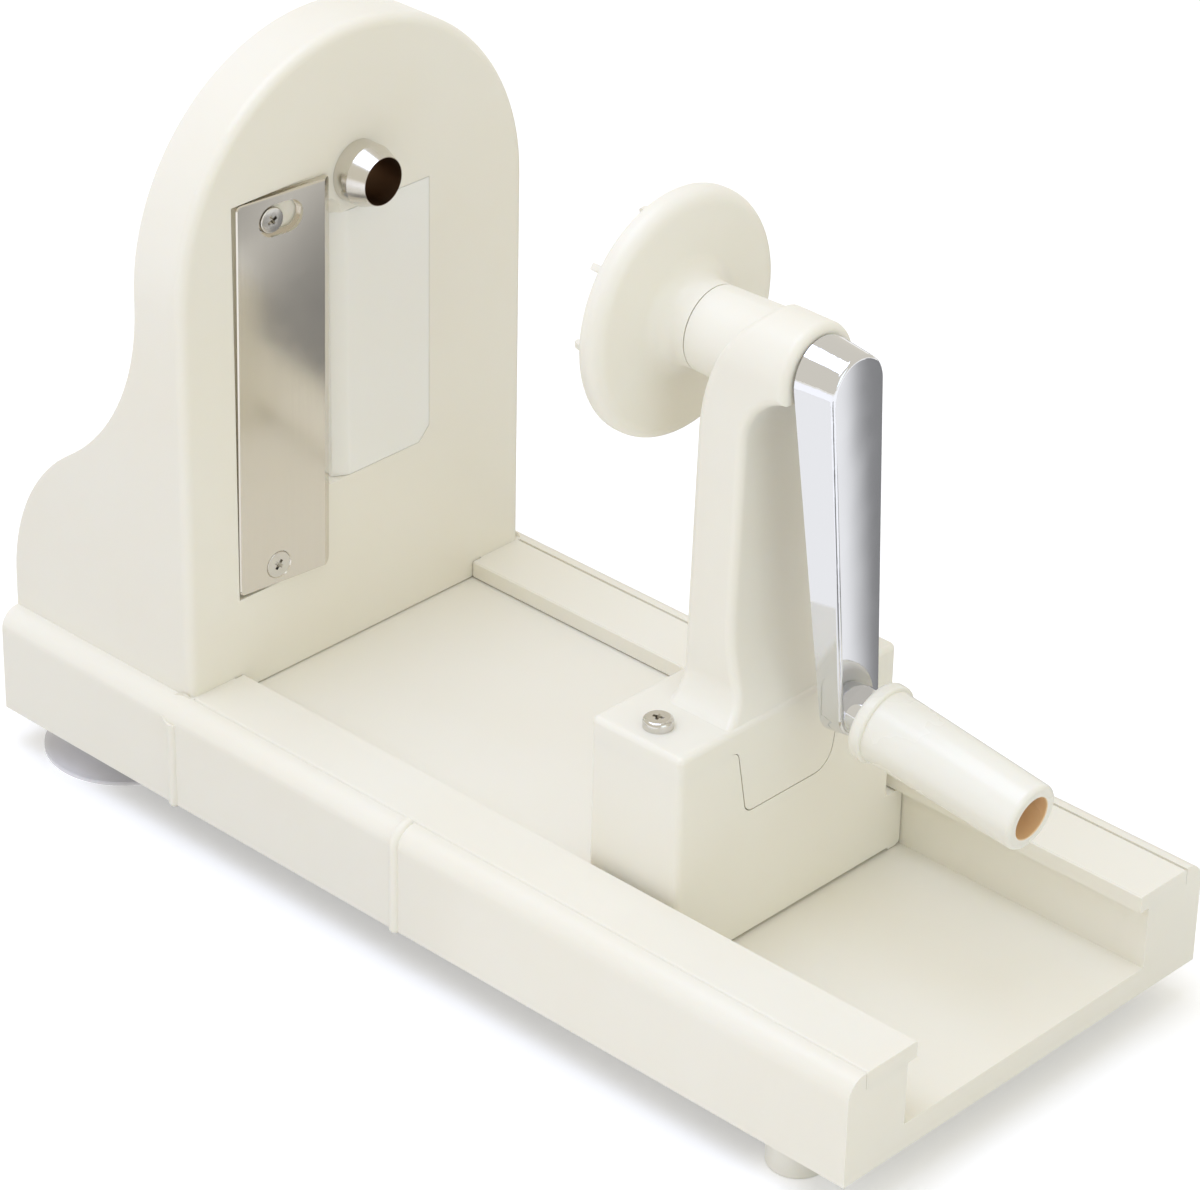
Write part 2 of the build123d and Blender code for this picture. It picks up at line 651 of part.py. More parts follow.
# ---------------------------------------------------------------- coring tube
TUBE_FRONT = FACE_X + TUBE_PROUD
TUBE_BACK = INNER_FACE_X - TUBE_BOSS_LENGTH
with BuildPart() as coring_tube:
    with BuildSketch(Plane.XZ):
        with BuildLine():
            Polyline(
                (TUBE_BACK - TUBE_FLANGE_THICKNESS, AXIS_Z + TUBE_BORE),
                (TUBE_FRONT, AXIS_Z + TUBE_BORE),
                (TUBE_FRONT, AXIS_Z + TUBE_BORE + TUBE_LIP),
                (TUBE_FRONT - TUBE_BEVEL, AXIS_Z + TUBE_RADIUS),
                (TUBE_BACK, AXIS_Z + TUBE_RADIUS),
                (TUBE_BACK, AXIS_Z + TUBE_RADIUS + TUBE_FLANGE),
                (TUBE_BACK - TUBE_FLANGE_THICKNESS, AXIS_Z + TUBE_RADIUS + TUBE_FLANGE),
                close=True,
            )
        make_face()
    revolve(axis=SHAFT_AXIS)
save(coring_tube, "coring_tube")

# ---------------------------------------------------------------- blade and its screws
BLADE_FRAME = turned(SEAT, -BLADE_LEAN)
EDGE_AT = BLADE_WIDTH - PIVOT_FROM_BACK_EDGE
# the screw stands at the slot's left end, wherever the lean has carried the slot
SLOT_AT = (SLOT_TRAVEL / 2 - SLOT_ABOVE_PIVOT * sin(radians(BLADE_LEAN)), SLOT_ABOVE_PIVOT)

with BuildPart() as blade:
    with BuildSketch(BLADE_FRAME) as blank:
        with Locations((-PIVOT_FROM_BACK_EDGE, -PIVOT_FROM_BOTTOM)):
            Rectangle(BLADE_WIDTH, BLADE_LENGTH, align=(Align.MIN, Align.MIN))
        fillet(blank.vertices(), BLADE_CORNER)
    extrude(amount=BLADE_THICKNESS)
    front_face = blade.faces().sort_by(Axis(BLADE_FRAME.origin, BLADE_FRAME.z_dir))[-1]
    chamfer(front_face.edges(), BLADE_EDGE_BREAK)
    # ground bevel along the cutting edge, drawn in the blade's cross-section
    with BuildSketch(Plane(BLADE_FRAME.origin, x_dir=BLADE_FRAME.x_dir, z_dir=-BLADE_FRAME.y_dir)):
        with BuildLine():
            Polyline(
                (EDGE_AT - BEVEL_WIDTH, BLADE_THICKNESS),
                (EDGE_AT, BEVEL_EDGE),
                (EDGE_AT, BLADE_THICKNESS),
                close=True,
            )
        make_face()
    extrude(amount=BLADE_LENGTH, both=True, mode=Mode.SUBTRACT)
    # countersunk pivot hole
    disc(BLADE_FRAME, SCREW_RADIUS + SHAFT_FIT, BLADE_THICKNESS, mode=Mode.SUBTRACT)
    with Locations(BLADE_FRAME.offset(BLADE_THICKNESS - FLAT_HEAD_HEIGHT)):
        Cone(
            SCREW_RADIUS + SHAFT_FIT,
            HEAD_RADIUS + SHAFT_FIT,
            FLAT_HEAD_HEIGHT,
            align=ON_BASE,
            mode=Mode.SUBTRACT,
        )
    # slot for the clamping screw, with a narrow shelf under the screw's head
    with BuildSketch(BLADE_FRAME.offset(SLOT_SHELF)):
        with Locations(SLOT_AT):
            SlotCenterToCenter(SLOT_TRAVEL, 2 * SLOT_RADIUS)
    extrude(amount=BLADE_THICKNESS, mode=Mode.SUBTRACT)
    with BuildSketch(BLADE_FRAME):
        with Locations(SLOT_AT):
            SlotCenterToCenter(SLOT_TRAVEL, 2 * (SLOT_RADIUS - SLOT_SHELF_WIDTH))
    extrude(amount=BLADE_THICKNESS, mode=Mode.SUBTRACT)
save(blade, "blade")

HEAD_SEAT = SEAT.offset(BLADE_THICKNESS - FLAT_HEAD_HEIGHT)
with BuildPart() as blade_pivot_screw:
    disc(HEAD_SEAT, SCREW_RADIUS, FLAT_HEAD_HEIGHT - BLADE_THICKNESS - FRONT_WALL)
    with Locations(HEAD_SEAT):
        Cone(SCREW_RADIUS, HEAD_RADIUS, FLAT_HEAD_HEIGHT, align=ON_BASE)
    cross_recess(SEAT.offset(BLADE_THICKNESS))
save(blade_pivot_screw, "blade_pivot_screw")

CLAMP_PLANE = SEAT.offset(SLOT_SHELF + SEAT_GAP)
CLAMP_SEAT = Plane(
    origin=CLAMP_PLANE.from_local_coords((0, SLOT_ABOVE_PIVOT, 0)),
    x_dir=SEAT_ACROSS,
    z_dir=SEAT_NORMAL,
)
with BuildPart() as blade_clamp_screw:
    disc(CLAMP_SEAT, HEAD_RADIUS, FLAT_HEAD_HEIGHT)
    disc(CLAMP_SEAT, SCREW_RADIUS, -FRONT_WALL)
    cross_recess(CLAMP_SEAT.offset(FLAT_HEAD_HEIGHT))
save(blade_clamp_screw, "blade_clamp_screw")

# ---------------------------------------------------------------- carriage
STAND_SCREW_ROW = BLOCK_WIDTH / 2 - STAND_SCREW_FROM_SIDE
STAND_SCREW_SPOTS = [(BLOCK_X, side * STAND_SCREW_ROW) for side in SIDES.values()]
DECK_INNER_Y = DECK_Y - RUNNER_WIDTH


def tongue_face(gap=0.0):
    """Front outline of the stand's tongue in the open sketch; a gap makes it the notch."""
    top = BLOCK_Z + FLANGE_THICKNESS / 2
    low = BLOCK_Z - TONGUE_DROP - gap
    neck = TONGUE_TOP_HALF + 2 * TONGUE_NECK + gap
    with BuildLine() as outline:
        Polyline(
            (-neck, top),
            (-neck, BLOCK_Z),
            (-TONGUE_TOP_HALF - gap, BLOCK_Z),
            (-TONGUE_LOW_HALF - gap, low),
            (TONGUE_LOW_HALF + gap, low),
            (TONGUE_TOP_HALF + gap, BLOCK_Z),
            (neck, BLOCK_Z),
            (neck, top),
            close=True,
        )
    face = make_face(outline.edges(), mode=Mode.PRIVATE).face()
    left, right = face.vertices().group_by(Axis.Y)[0].sort_by(Axis.X)
    necks = [v for v in face.vertices() if abs(abs(v.X) - TONGUE_TOP_HALF - gap) < gap + SEAT_GAP]
    face = face.fillet_2d(TONGUE_TIGHT + gap, [left])
    face = face.fillet_2d(TONGUE_WIDE + gap, [face.vertices().sort_by_distance(right)[0]])
    face = face.fillet_2d(TONGUE_NECK, [face.vertices().sort_by_distance(v)[0] for v in necks])
    add(face)


with BuildPart() as carriage:
    # deck, as long as the tunnel under the housing needs, on two shallow runners
    with BuildSketch(Plane.YZ.offset(DECK_BACK)):
        with Locations((0, RUNNER_Z)):
            RectangleRounded(2 * DECK_Y, DECK_Z - RUNNER_Z, DECK_ROUND, align=(Align.CENTER, Align.MIN))
            Rectangle(2 * DECK_INNER_Y, RUNNER_HEIGHT, align=(Align.CENTER, Align.MIN), mode=Mode.SUBTRACT)
    extrude(amount=DECK_LENGTH)
    # block that carries the stand
    with BuildSketch(Plane.XY.offset(DECK_Z - DECK_PLATE)):
        with Locations((BLOCK_X, 0)):
            RectangleRounded(BLOCK_LENGTH, BLOCK_WIDTH, BLOCK_ROUND)
    extrude(amount=BLOCK_RISE + DECK_PLATE)
    # hollow underside of the deck and of the block
    with Locations((DECK_BACK + DECK_PLATE, 0, SLAB_Z)):
        Box(
            DECK_LENGTH - 2 * DECK_PLATE - TONGUE_THICKNESS,
            2 * DECK_INNER_Y,
            DECK_Z - DECK_PLATE - SLAB_Z,
            align=(Align.MIN, Align.CENTER, Align.MIN),
            mode=Mode.SUBTRACT,
        )
    with Locations((BLOCK_BACK + BLOCK_WALL, 0, SLAB_Z)):
        Box(
            BLOCK_LENGTH - 2 * BLOCK_WALL - TONGUE_THICKNESS,
            BLOCK_WIDTH - 2 * BLOCK_WALL,
            BLOCK_Z - BLOCK_WALL - SLAB_Z,
            align=(Align.MIN, Align.CENTER, Align.MIN),
            mode=Mode.SUBTRACT,
        )
    # cross ribs under the deck, and a boss under each stand screw
    with Locations(((DECK_BACK + BLOCK_BACK) / 2, 0, DECK_Z - DECK_PLATE)):
        with GridLocations(RIB_PITCH, 0, int((BLOCK_BACK - DECK_BACK) / RIB_PITCH), 1):
            Box(RIB, 2 * DECK_INNER_Y, DECK_PLATE, align=UNDER_TOP)
    disc(Plane.XY.offset(BLOCK_Z), SCREW_BOSS, -STAND_SCREW_GRIP - SKIN, STAND_SCREW_SPOTS)
    disc(
        Plane.XY.offset(BLOCK_Z),
        SCREW_RADIUS + SCREW_FIT,
        -STAND_SCREW_GRIP,
        STAND_SCREW_SPOTS,
        Mode.SUBTRACT,
    )
    # notch in the front wall for the stand's tongue
    with BuildSketch(Plane.YZ.offset(BLOCK_FRONT)):
        tongue_face(TONGUE_GAP)
    extrude(amount=-TONGUE_THICKNESS - TONGUE_GAP, mode=Mode.SUBTRACT)
save(carriage, "carriage")

# ---------------------------------------------------------------- crank stand
FLARE_TURN = radians(FLARE_ANGLE)
FLARE_TOP = FLANGE_Z + FLARE_RADIUS
FLARE_END = (
    COLUMN_FOOT_HALF + FLARE_RADIUS * (1 - cos(FLARE_TURN)),
    FLARE_TOP - FLARE_RADIUS * sin(FLARE_TURN),
)
FOOT_Z = FLANGE_Z - FOOT_DEPTH
FOOT_HALF = FLARE_END[0] + (FLARE_END[1] - FOOT_Z) * tan(FLARE_TURN)
SWEEP_TOP = FLANGE_Z + SWEEP_HEIGHT
NECK_Z = AXIS_Z - NECK_DROP

with BuildPart() as stand_foot:
    with BuildSketch(Plane.XY.offset(BLOCK_Z)):
        with Locations((BLOCK_X, 0)):
            RectangleRounded(BLOCK_LENGTH, BLOCK_WIDTH, BLOCK_ROUND)
    extrude(amount=FLANGE_THICKNESS)
    fillet(stand_foot.faces().sort_by(Axis.Z)[-1].edges(), FLANGE_ROUND)
    with BuildSketch(Plane.YZ.offset(BLOCK_FRONT)):
        tongue_face()
    extrude(amount=-TONGUE_THICKNESS)

with BuildPart() as crank_stand:
    # column, front view: a dome over the shaft, tapered sides, flared foot
    with BuildSketch(Plane.YZ.offset(COLUMN_BACK)):
        with BuildLine():
            ThreePointArc((COLUMN_TOP_HALF, AXIS_Z), (0, COLUMN_TOP), (-COLUMN_TOP_HALF, AXIS_Z))
            for side in SIDES.values():
                Line((side * COLUMN_TOP_HALF, AXIS_Z), (side * COLUMN_FOOT_HALF, FLARE_TOP))
                TangentArc(
                    (side * COLUMN_FOOT_HALF, FLARE_TOP),
                    (side * FLARE_END[0], FLARE_END[1]),
                    tangent=(side * (COLUMN_FOOT_HALF - COLUMN_TOP_HALF), FLARE_TOP - AXIS_Z),
                )
                Line((side * FLARE_END[0], FLARE_END[1]), (side * FOOT_HALF, FOOT_Z))
            Line((-FOOT_HALF, FOOT_Z), (FOOT_HALF, FOOT_Z))
        make_face()
    extrude(amount=HEAD_FRONT - COLUMN_BACK)
    # front of the column: swept out to the block below and to the head above
    with BuildSketch(Plane.XZ):
        with BuildLine():
            TangentArc((COLUMN_FRONT, SWEEP_TOP), (BLOCK_FRONT, FOOT_Z), tangent=(0, -1))
            Polyline(
                (BLOCK_FRONT, FOOT_Z),
                (HEAD_FRONT, FOOT_Z),
                (HEAD_FRONT, AXIS_Z - HEAD_DROP),
            )
            TangentArc((COLUMN_FRONT, NECK_Z), (HEAD_FRONT, AXIS_Z - HEAD_DROP), tangent=(0, 1))
            Line((COLUMN_FRONT, NECK_Z), (COLUMN_FRONT, SWEEP_TOP))
        make_face()
    extrude(amount=BASE_WIDTH, both=True, mode=Mode.SUBTRACT)
    # back of the column bows forward over the barrel
    with BuildSketch(Plane.XZ):
        with BuildLine():
            TangentArc(
                (COLUMN_BACK, COLUMN_TOP - COLUMN_BOW),
                (COLUMN_BACK + COLUMN_BOW_DEPTH, COLUMN_TOP),
                tangent=(0, 1),
            )
            Polyline(
                (COLUMN_BACK + COLUMN_BOW_DEPTH, COLUMN_TOP),
                (COLUMN_BACK, COLUMN_TOP),
                (COLUMN_BACK, COLUMN_TOP - COLUMN_BOW),
            )
        make_face()
    extrude(amount=BASE_WIDTH, both=True, mode=Mode.SUBTRACT)
    outline_edges = [
        e
        for e in crank_stand.edges()
        if e.center().Z > FOOT_Z + SKIN / 2 and e.bounding_box().size.Z > SKIN
    ]
    fillet(outline_edges, COLUMN_ROUND)
    add(stand_foot.part)
    # barrel towards the food holder, a little thicker where the head takes over
    with BuildSketch(Plane.XZ):
        with BuildLine():
            Polyline(
                (BARREL_BACK, AXIS_Z),
                (BARREL_BACK, AXIS_Z + BARREL_RADIUS),
                (COLUMN_FRONT, AXIS_Z + SADDLE_RADIUS),
                (COLUMN_FRONT, AXIS_Z),
                close=True,
            )
        make_face()
    revolve(axis=SHAFT_AXIS)
    # shaft bore and holes for the stand screws
    disc(
        Plane.YZ.offset(BARREL_BACK),
        SHAFT_RADIUS + SHAFT_FIT,
        HEAD_FRONT - BARREL_BACK,
        [(0, AXIS_Z)],
        Mode.SUBTRACT,
    )
    disc(
        Plane.XY.offset(FLANGE_Z),
        SCREW_RADIUS + SCREW_CLEARANCE,
        -FLANGE_THICKNESS,
        STAND_SCREW_SPOTS,
        Mode.SUBTRACT,
    )
save(crank_stand, "crank_stand")

for name, spot in zip(SIDES, STAND_SCREW_SPOTS):
    with BuildPart() as stand_screw:
        pan_screw(Plane(origin=(*spot, FLANGE_Z)), FLANGE_THICKNESS + STAND_SCREW_GRIP - SKIN)
    save(stand_screw, f"stand_screw_{name}")

# ---------------------------------------------------------------- shaft and food holder
with BuildPart() as drive_shaft:
    disc(Plane.YZ.offset(SHAFT_START), SHAFT_RADIUS, SHAFT_END - SHAFT_START, [(0, AXIS_Z)])
    for start, stop in ((SHAFT_START, HUB_BACK), (HEAD_FRONT + SPIN_GAP, SHAFT_END)):
        with BuildSketch(crank_plane(start)):
            with Locations((0, SHAFT_FLAT)):
                Rectangle(2 * SHAFT_RADIUS, SHAFT_RADIUS, align=(Align.CENTER, Align.MIN))
        extrude(amount=stop - start, mode=Mode.SUBTRACT)
    disc(
        Plane.YZ.offset(SHAFT_START),
        SCREW_RADIUS + SCREW_FIT,
        SHAFT_THREAD,
        [(0, AXIS_Z)],
        Mode.SUBTRACT,
    )
save(drive_shaft, "drive_shaft")


def prong_ring(radius, count):
    """Ring of pointed fins in the open part, on the holder's blade side."""
    half = PRONG_WIDTH / 2
    holder_face = Plane((HOLDER_FRONT, 0, AXIS_Z), x_dir=(0, 1, 0), z_dir=(1, 0, 0))
    for step in range(count):
        spoke = turned(holder_face, PRONG_START + step * 360 / count)
        foot = spoke.from_local_coords((radius, 0, 0))
        with BuildSketch(Plane(foot, x_dir=spoke.x_dir, z_dir=spoke.y_dir)) as fin:
            with BuildLine():
                Polyline(
                    (-half, 0),
                    (half, 0),
                    (PRONG_TIP, PRONG_LENGTH),
                    (-PRONG_TIP, PRONG_LENGTH),
                    close=True,
                )
            make_face()
        extrude(fin.sketch, amount=PRONG_THICKNESS / 2, both=True)


with BuildPart() as food_holder:
    with BuildSketch(Plane.XZ) as holder_half:
        with BuildLine():
            Polyline(
                (HOLDER_FRONT, AXIS_Z),
                (HOLDER_FRONT, AXIS_Z + HOLDER_RADIUS),
                (HOLDER_REAR, AXIS_Z + HOLDER_RADIUS),
                (HOLDER_REAR, AXIS_Z + BARREL_RADIUS),
                (HUB_BACK, AXIS_Z + BARREL_RADIUS),
                (HUB_BACK, AXIS_Z),
                close=True,
            )
        make_face()
        for corner, rounding in (
            ((HOLDER_FRONT, AXIS_Z + HOLDER_RADIUS), HOLDER_EDGE),
            ((HOLDER_REAR, AXIS_Z + HOLDER_RADIUS), HOLDER_ROUND),
            ((HOLDER_REAR, AXIS_Z + BARREL_RADIUS), HUB_FLARE),
        ):
            fillet(holder_half.vertices().sort_by_distance(corner)[0], rounding)
    revolve(axis=SHAFT_AXIS)
    prong_ring(PRONG_RING, PRONG_COUNT)
    prong_ring(INNER_PRONG_RING, INNER_PRONG_COUNT)
    # recess for the screw's head, screw hole and D-shaped socket for the shaft
    disc(Plane.YZ.offset(HOLDER_FRONT), HUB_RECESS_RADIUS, HUB_RECESS, [(0, AXIS_Z)], Mode.SUBTRACT)
    disc(
        Plane.YZ.offset(HOLDER_FRONT),
        SCREW_RADIUS + SCREW_CLEARANCE,
        SHAFT_START - HOLDER_FRONT,
        [(0, AXIS_Z)],
        Mode.SUBTRACT,
    )
    d_socket(crank_plane(HUB_BACK), SHAFT_START - HUB_BACK)
save(food_holder, "food_holder")

with BuildPart() as holder_screw:
    pan_screw(
        Plane(origin=(HOLDER_FRONT + HUB_RECESS, 0, AXIS_Z), z_dir=(-1, 0, 0)),
        HUB_WEB + SHAFT_THREAD - SKIN,
    )
save(holder_screw, "holder_screw")

# ---------------------------------------------------------------- crank arm
with BuildPart() as crank_arm:
    # two round ends joined by tangents, drafted back from the front face
    with BuildSketch(ARM_FACE):
        Circle(ARM_HUB_HALF)
        with Locations((0, -ARM_THROW)):
            Circle(ARM_END_HALF)
        make_hull()
    extrude(amount=-ARM_HUB_DEPTH - ARM_ROUND, taper=-ARM_DRAFT)
    split(bisect_by=ARM_SEAT, keep=Keep.TOP)
    fillet(crank_arm.faces().sort_by(Axis.X)[-1].edges(), ARM_ROUND)
    # boss square to the grip, socket of the shaft and seat of the grip pin
    disc(GRIP_ROOT.offset(-ARM_BOSS_PROUD), ARM_BOSS_RADIUS, 2 * ARM_BOSS_PROUD)
    d_socket(crank_plane(ARM_BACK - SKIN), SHAFT_END - ARM_BACK + SKIN)
    disc(GRIP_ROOT.offset(ARM_BOSS_PROUD), PIN_RADIUS + SCREW_FIT, -PIN_SEAT, mode=Mode.SUBTRACT)
save(crank_arm, "crank_arm")

# ---------------------------------------------------------------- grip
GRIP_START = ARM_BOSS_PROUD + SPIN_GAP
GRIP_SHOULDER = GRIP_START + GRIP_BEARING_LENGTH
GRIP_STOP = GRIP_START + GRIP_LENGTH
WASHER_AT = GRIP_SHOULDER + SPIN_GAP
PIN_HEAD_AT = WASHER_AT + WASHER_THICKNESS
GRIP_SECTION = Plane(GRIP_ROOT.origin, x_dir=GRIP_ROOT.z_dir, z_dir=GRIP_ROOT.x_dir)
GRIP_TURN = Axis(GRIP_ROOT.origin, GRIP_ROOT.z_dir)

with BuildPart() as grip:
    with BuildSketch(GRIP_SECTION) as grip_half:
        with BuildLine():
            Polyline(
                (GRIP_START, PIN_RADIUS + SHAFT_FIT),
                (GRIP_START, GRIP_FLANGE_RADIUS),
                (GRIP_START + GRIP_FLANGE_THICKNESS, GRIP_FLANGE_RADIUS),
                (GRIP_START + GRIP_FLANGE_THICKNESS, GRIP_ROOT_RADIUS),
                (GRIP_STOP, GRIP_END_RADIUS),
                (GRIP_STOP, GRIP_BORE_RADIUS),
                (GRIP_SHOULDER, GRIP_BORE_RADIUS),
                (GRIP_SHOULDER, PIN_RADIUS + SHAFT_FIT),
                close=True,
            )
        make_face()
        for corner, rounding in (
            ((GRIP_START, GRIP_FLANGE_RADIUS), GRIP_FLANGE_ROUND),
            ((GRIP_START + GRIP_FLANGE_THICKNESS, GRIP_FLANGE_RADIUS), GRIP_FLANGE_ROUND / 2),
            ((GRIP_STOP, GRIP_END_RADIUS), GRIP_END_ROUND),
            ((GRIP_STOP, GRIP_BORE_RADIUS), CAP_BEVEL),
        ):
            fillet(grip_half.vertices().sort_by_distance(corner)[0], rounding)
    revolve(axis=GRIP_TURN)
save(grip, "grip")

with BuildPart() as grip_pin:
    disc(GRIP_ROOT.offset(PIN_HEAD_AT), PIN_RADIUS, ARM_BOSS_PROUD - PIN_SEAT - PIN_HEAD_AT)
    disc(GRIP_ROOT.offset(PIN_HEAD_AT), PIN_HEAD_RADIUS, PIN_HEAD_HEIGHT)
save(grip_pin, "grip_pin")

with BuildPart() as grip_washer:
    disc(GRIP_ROOT.offset(WASHER_AT), WASHER_RADIUS, WASHER_THICKNESS)
    disc(GRIP_ROOT.offset(WASHER_AT), PIN_RADIUS + SCREW_FIT, WASHER_THICKNESS, mode=Mode.SUBTRACT)
save(grip_washer, "grip_washer")

# ---------------------------------------------------------------- feet
for name, spot in zip(SIDES, FOOT_SPOTS):
    with BuildPart() as front_foot:
        disc(Plane.XY, FRONT_FOOT_RADIUS, FOOT_HEIGHT, [spot])
        fillet(front_foot.edges().group_by(Axis.Z)[0], FRONT_FOOT_ROUND)
        disc(Plane.XY.offset(FOOT_HEIGHT), STUD_RADIUS, STUD_LENGTH, [spot])
    save(front_foot, f"front_foot_{name}")

for name, spot in zip(SIDES, CUP_SPOTS):
    with BuildPart() as suction_cup:
        with BuildSketch(Plane.XZ):
            with BuildLine():
                Line((CUP_RADIUS, 0), (CUP_RADIUS, CUP_RIM))
                SagittaArc((CUP_RADIUS, CUP_RIM), (CUP_NECK, FOOT_HEIGHT - CUP_NECK_HEIGHT), CUP_BULGE)
                Polyline(
                    (CUP_NECK, FOOT_HEIGHT - CUP_NECK_HEIGHT),
                    (CUP_NECK, FOOT_HEIGHT),
                    (STUD_RADIUS, FOOT_HEIGHT),
                    (STUD_RADIUS, FOOT_HEIGHT + STUD_LENGTH),
                    (0, FOOT_HEIGHT + STUD_LENGTH),
                    (0, CUP_HOLLOW),
                )
                TangentArc((0, CUP_HOLLOW), (CUP_RADIUS - CUP_RIM, 0), tangent=(1, 0))
                Line((CUP_RADIUS - CUP_RIM, 0), (CUP_RADIUS, 0))
            make_face()
        cup = revolve(axis=Axis.Z, mode=Mode.PRIVATE)
        add(cup.moved(Location((*spot, 0))))
    save(suction_cup, f"suction_cup_{name}")
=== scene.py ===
# %% [markdown]
# # A hand-cranked turning slicer, dressed for the studio
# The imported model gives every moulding, screw and sheet of steel its place. This
# lesson gives them the finishes of the real thing: warm ivory plastic from a
# polished mould, ground stainless steel, chrome plate and clear soft vinyl. The
# frame is loaded first, because every later step measures it and none may move it.

# %% Load the frame
import json
from math import radians

import bpy
from mathutils import Matrix, Vector


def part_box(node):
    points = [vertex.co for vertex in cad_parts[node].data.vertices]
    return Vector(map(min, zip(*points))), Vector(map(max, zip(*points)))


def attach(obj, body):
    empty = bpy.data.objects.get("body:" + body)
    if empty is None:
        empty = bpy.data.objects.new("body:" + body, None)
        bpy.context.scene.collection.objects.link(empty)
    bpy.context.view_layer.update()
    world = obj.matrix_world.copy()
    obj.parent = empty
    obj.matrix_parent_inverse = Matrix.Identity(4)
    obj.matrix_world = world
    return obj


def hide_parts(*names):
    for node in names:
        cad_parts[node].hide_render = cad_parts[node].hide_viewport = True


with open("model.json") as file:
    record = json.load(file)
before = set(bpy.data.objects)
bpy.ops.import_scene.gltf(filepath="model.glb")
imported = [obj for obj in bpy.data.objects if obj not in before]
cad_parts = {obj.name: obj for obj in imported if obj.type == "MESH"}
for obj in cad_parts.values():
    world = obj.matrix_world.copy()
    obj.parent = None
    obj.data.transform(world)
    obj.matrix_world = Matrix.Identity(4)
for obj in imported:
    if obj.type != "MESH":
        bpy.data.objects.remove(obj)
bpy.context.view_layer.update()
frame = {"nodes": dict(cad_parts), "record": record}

nodes = frame["nodes"]

# %% [markdown]
# ## The camera
# A product photograph is taken from well back with a long lens, so that near and
# far edges stay almost parallel. The camera could be set by eye, but the place,
# turn and lens below come from solving the photograph's straight edges against
# the model's own corners, which puts the edges within a pixel or two.

# %% Camera
MM = 0.001               # the model's sizes are millimetres, the scene's are metres
CAMERA_PLACE = Vector((636.64, -675.14, 614.23)) * MM
CAMERA_TURN = (radians(59.763), radians(-1.069), radians(43.681))
CAMERA_LENS = 141.24
SENSOR_WIDTH = 36.0
NEAREST = 0.01           # metres from the lens, nearer than any piece

lens = bpy.data.cameras.new("camera")
lens.lens = CAMERA_LENS
lens.sensor_width = SENSOR_WIDTH
lens.sensor_fit = "HORIZONTAL"
lens.clip_start = NEAREST
camera = bpy.data.objects.new("camera", lens)
camera.location = CAMERA_PLACE
camera.rotation_euler = CAMERA_TURN
bpy.context.collection.objects.link(camera)
bpy.context.scene.camera = camera
print("camera stands", round(CAMERA_PLACE.length, 3), "m away")

# %% [markdown]
# ## Shader maths as plain expressions
# A finish is a sum: a colour, plus a little wear, plus fine bumps. Nodes could be
# placed one by one, but sums read better as sums, so this small class wraps a
# socket and lets Python's own operators add the Math nodes. Colours and vectors go
# through Mix and Vector Math, because a Math node would turn them grey.

# %% The socket class
class Wire:
    """One output socket of a material's nodes, which can be used in sums."""

    def __init__(self, tree, socket):
        self.tree = tree
        self.socket = socket

    def node(self, kind, settings=None, out=0, **values):
        """Any node: its settings are set first, then the values or links of its inputs,
        which are named, or numbered as i0, i1 and so on. Out picks the output."""
        made = self.tree.nodes.new(kind)
        for name, value in (settings or {}).items():
            setattr(made, name, value)
        for name, value in values.items():
            numbered = name[0] == "i" and name[1:].isdigit()
            key = int(name[1:]) if numbered else name.replace("_", " ")
            if isinstance(value, Wire):
                self.tree.links.new(value.socket, made.inputs[key])
            else:
                made.inputs[key].default_value = value
        return Wire(self.tree, made.outputs[out])

    def math(self, operation, *values):
        """A Math node of this value and others."""
        sockets = {f"i{place}": value for place, value in enumerate((self, *values))}
        return self.node("ShaderNodeMath", {"operation": operation}, **sockets)

    def __add__(self, other):
        return self.math("ADD", other)

    def __mul__(self, other):
        return self.math("MULTIPLY", other)

    def step(self, low, high):
        """0 on the side of low and 1 on the side of high, with a soft edge between."""
        return self.node(
            "ShaderNodeMapRange",
            {"interpolation_type": "SMOOTHSTEP"},
            Value=self,
            From_Min=low,
            From_Max=high,
        )

    def blend(self, first, second):
        """A mix of two colours: the first where this value is 0, the second where it is 1."""
        return self.node(
            "ShaderNodeMix", {"data_type": "RGBA"}, out=2, i0=self, i6=first, i7=second
        )

    def scaled(self, x, y, z):
        """This vector, stretched by a factor along each axis."""
        return self.node(
            "ShaderNodeVectorMath", {"operation": "MULTIPLY"}, i0=self, i1=(x, y, z)
        )

    def from_line(self, point, axis):
        """How far this place lies from a line through a point, along a unit axis."""
        vector_math = "ShaderNodeVectorMath"
        arm = self.node(vector_math, {"operation": "SUBTRACT"}, i0=self, i1=point)
        crossed = arm.node(vector_math, {"operation": "CROSS_PRODUCT"}, i0=arm, i1=axis)
        return crossed.node(vector_math, {"operation": "LENGTH"}, out="Value", i0=crossed)

    def noise(self, scale, detail=2.0, rough=0.5):
        """Soft noise at this place, from 0 to 1."""
        return self.node(
            "ShaderNodeTexNoise", Vector=self, Scale=scale, Detail=detail, Roughness=rough
        )

    def parts(self):
        """The X, Y and Z of this vector."""
        split = self.node("ShaderNodeSeparateXYZ", i0=self).socket.node
        return [Wire(self.tree, socket) for socket in split.outputs]


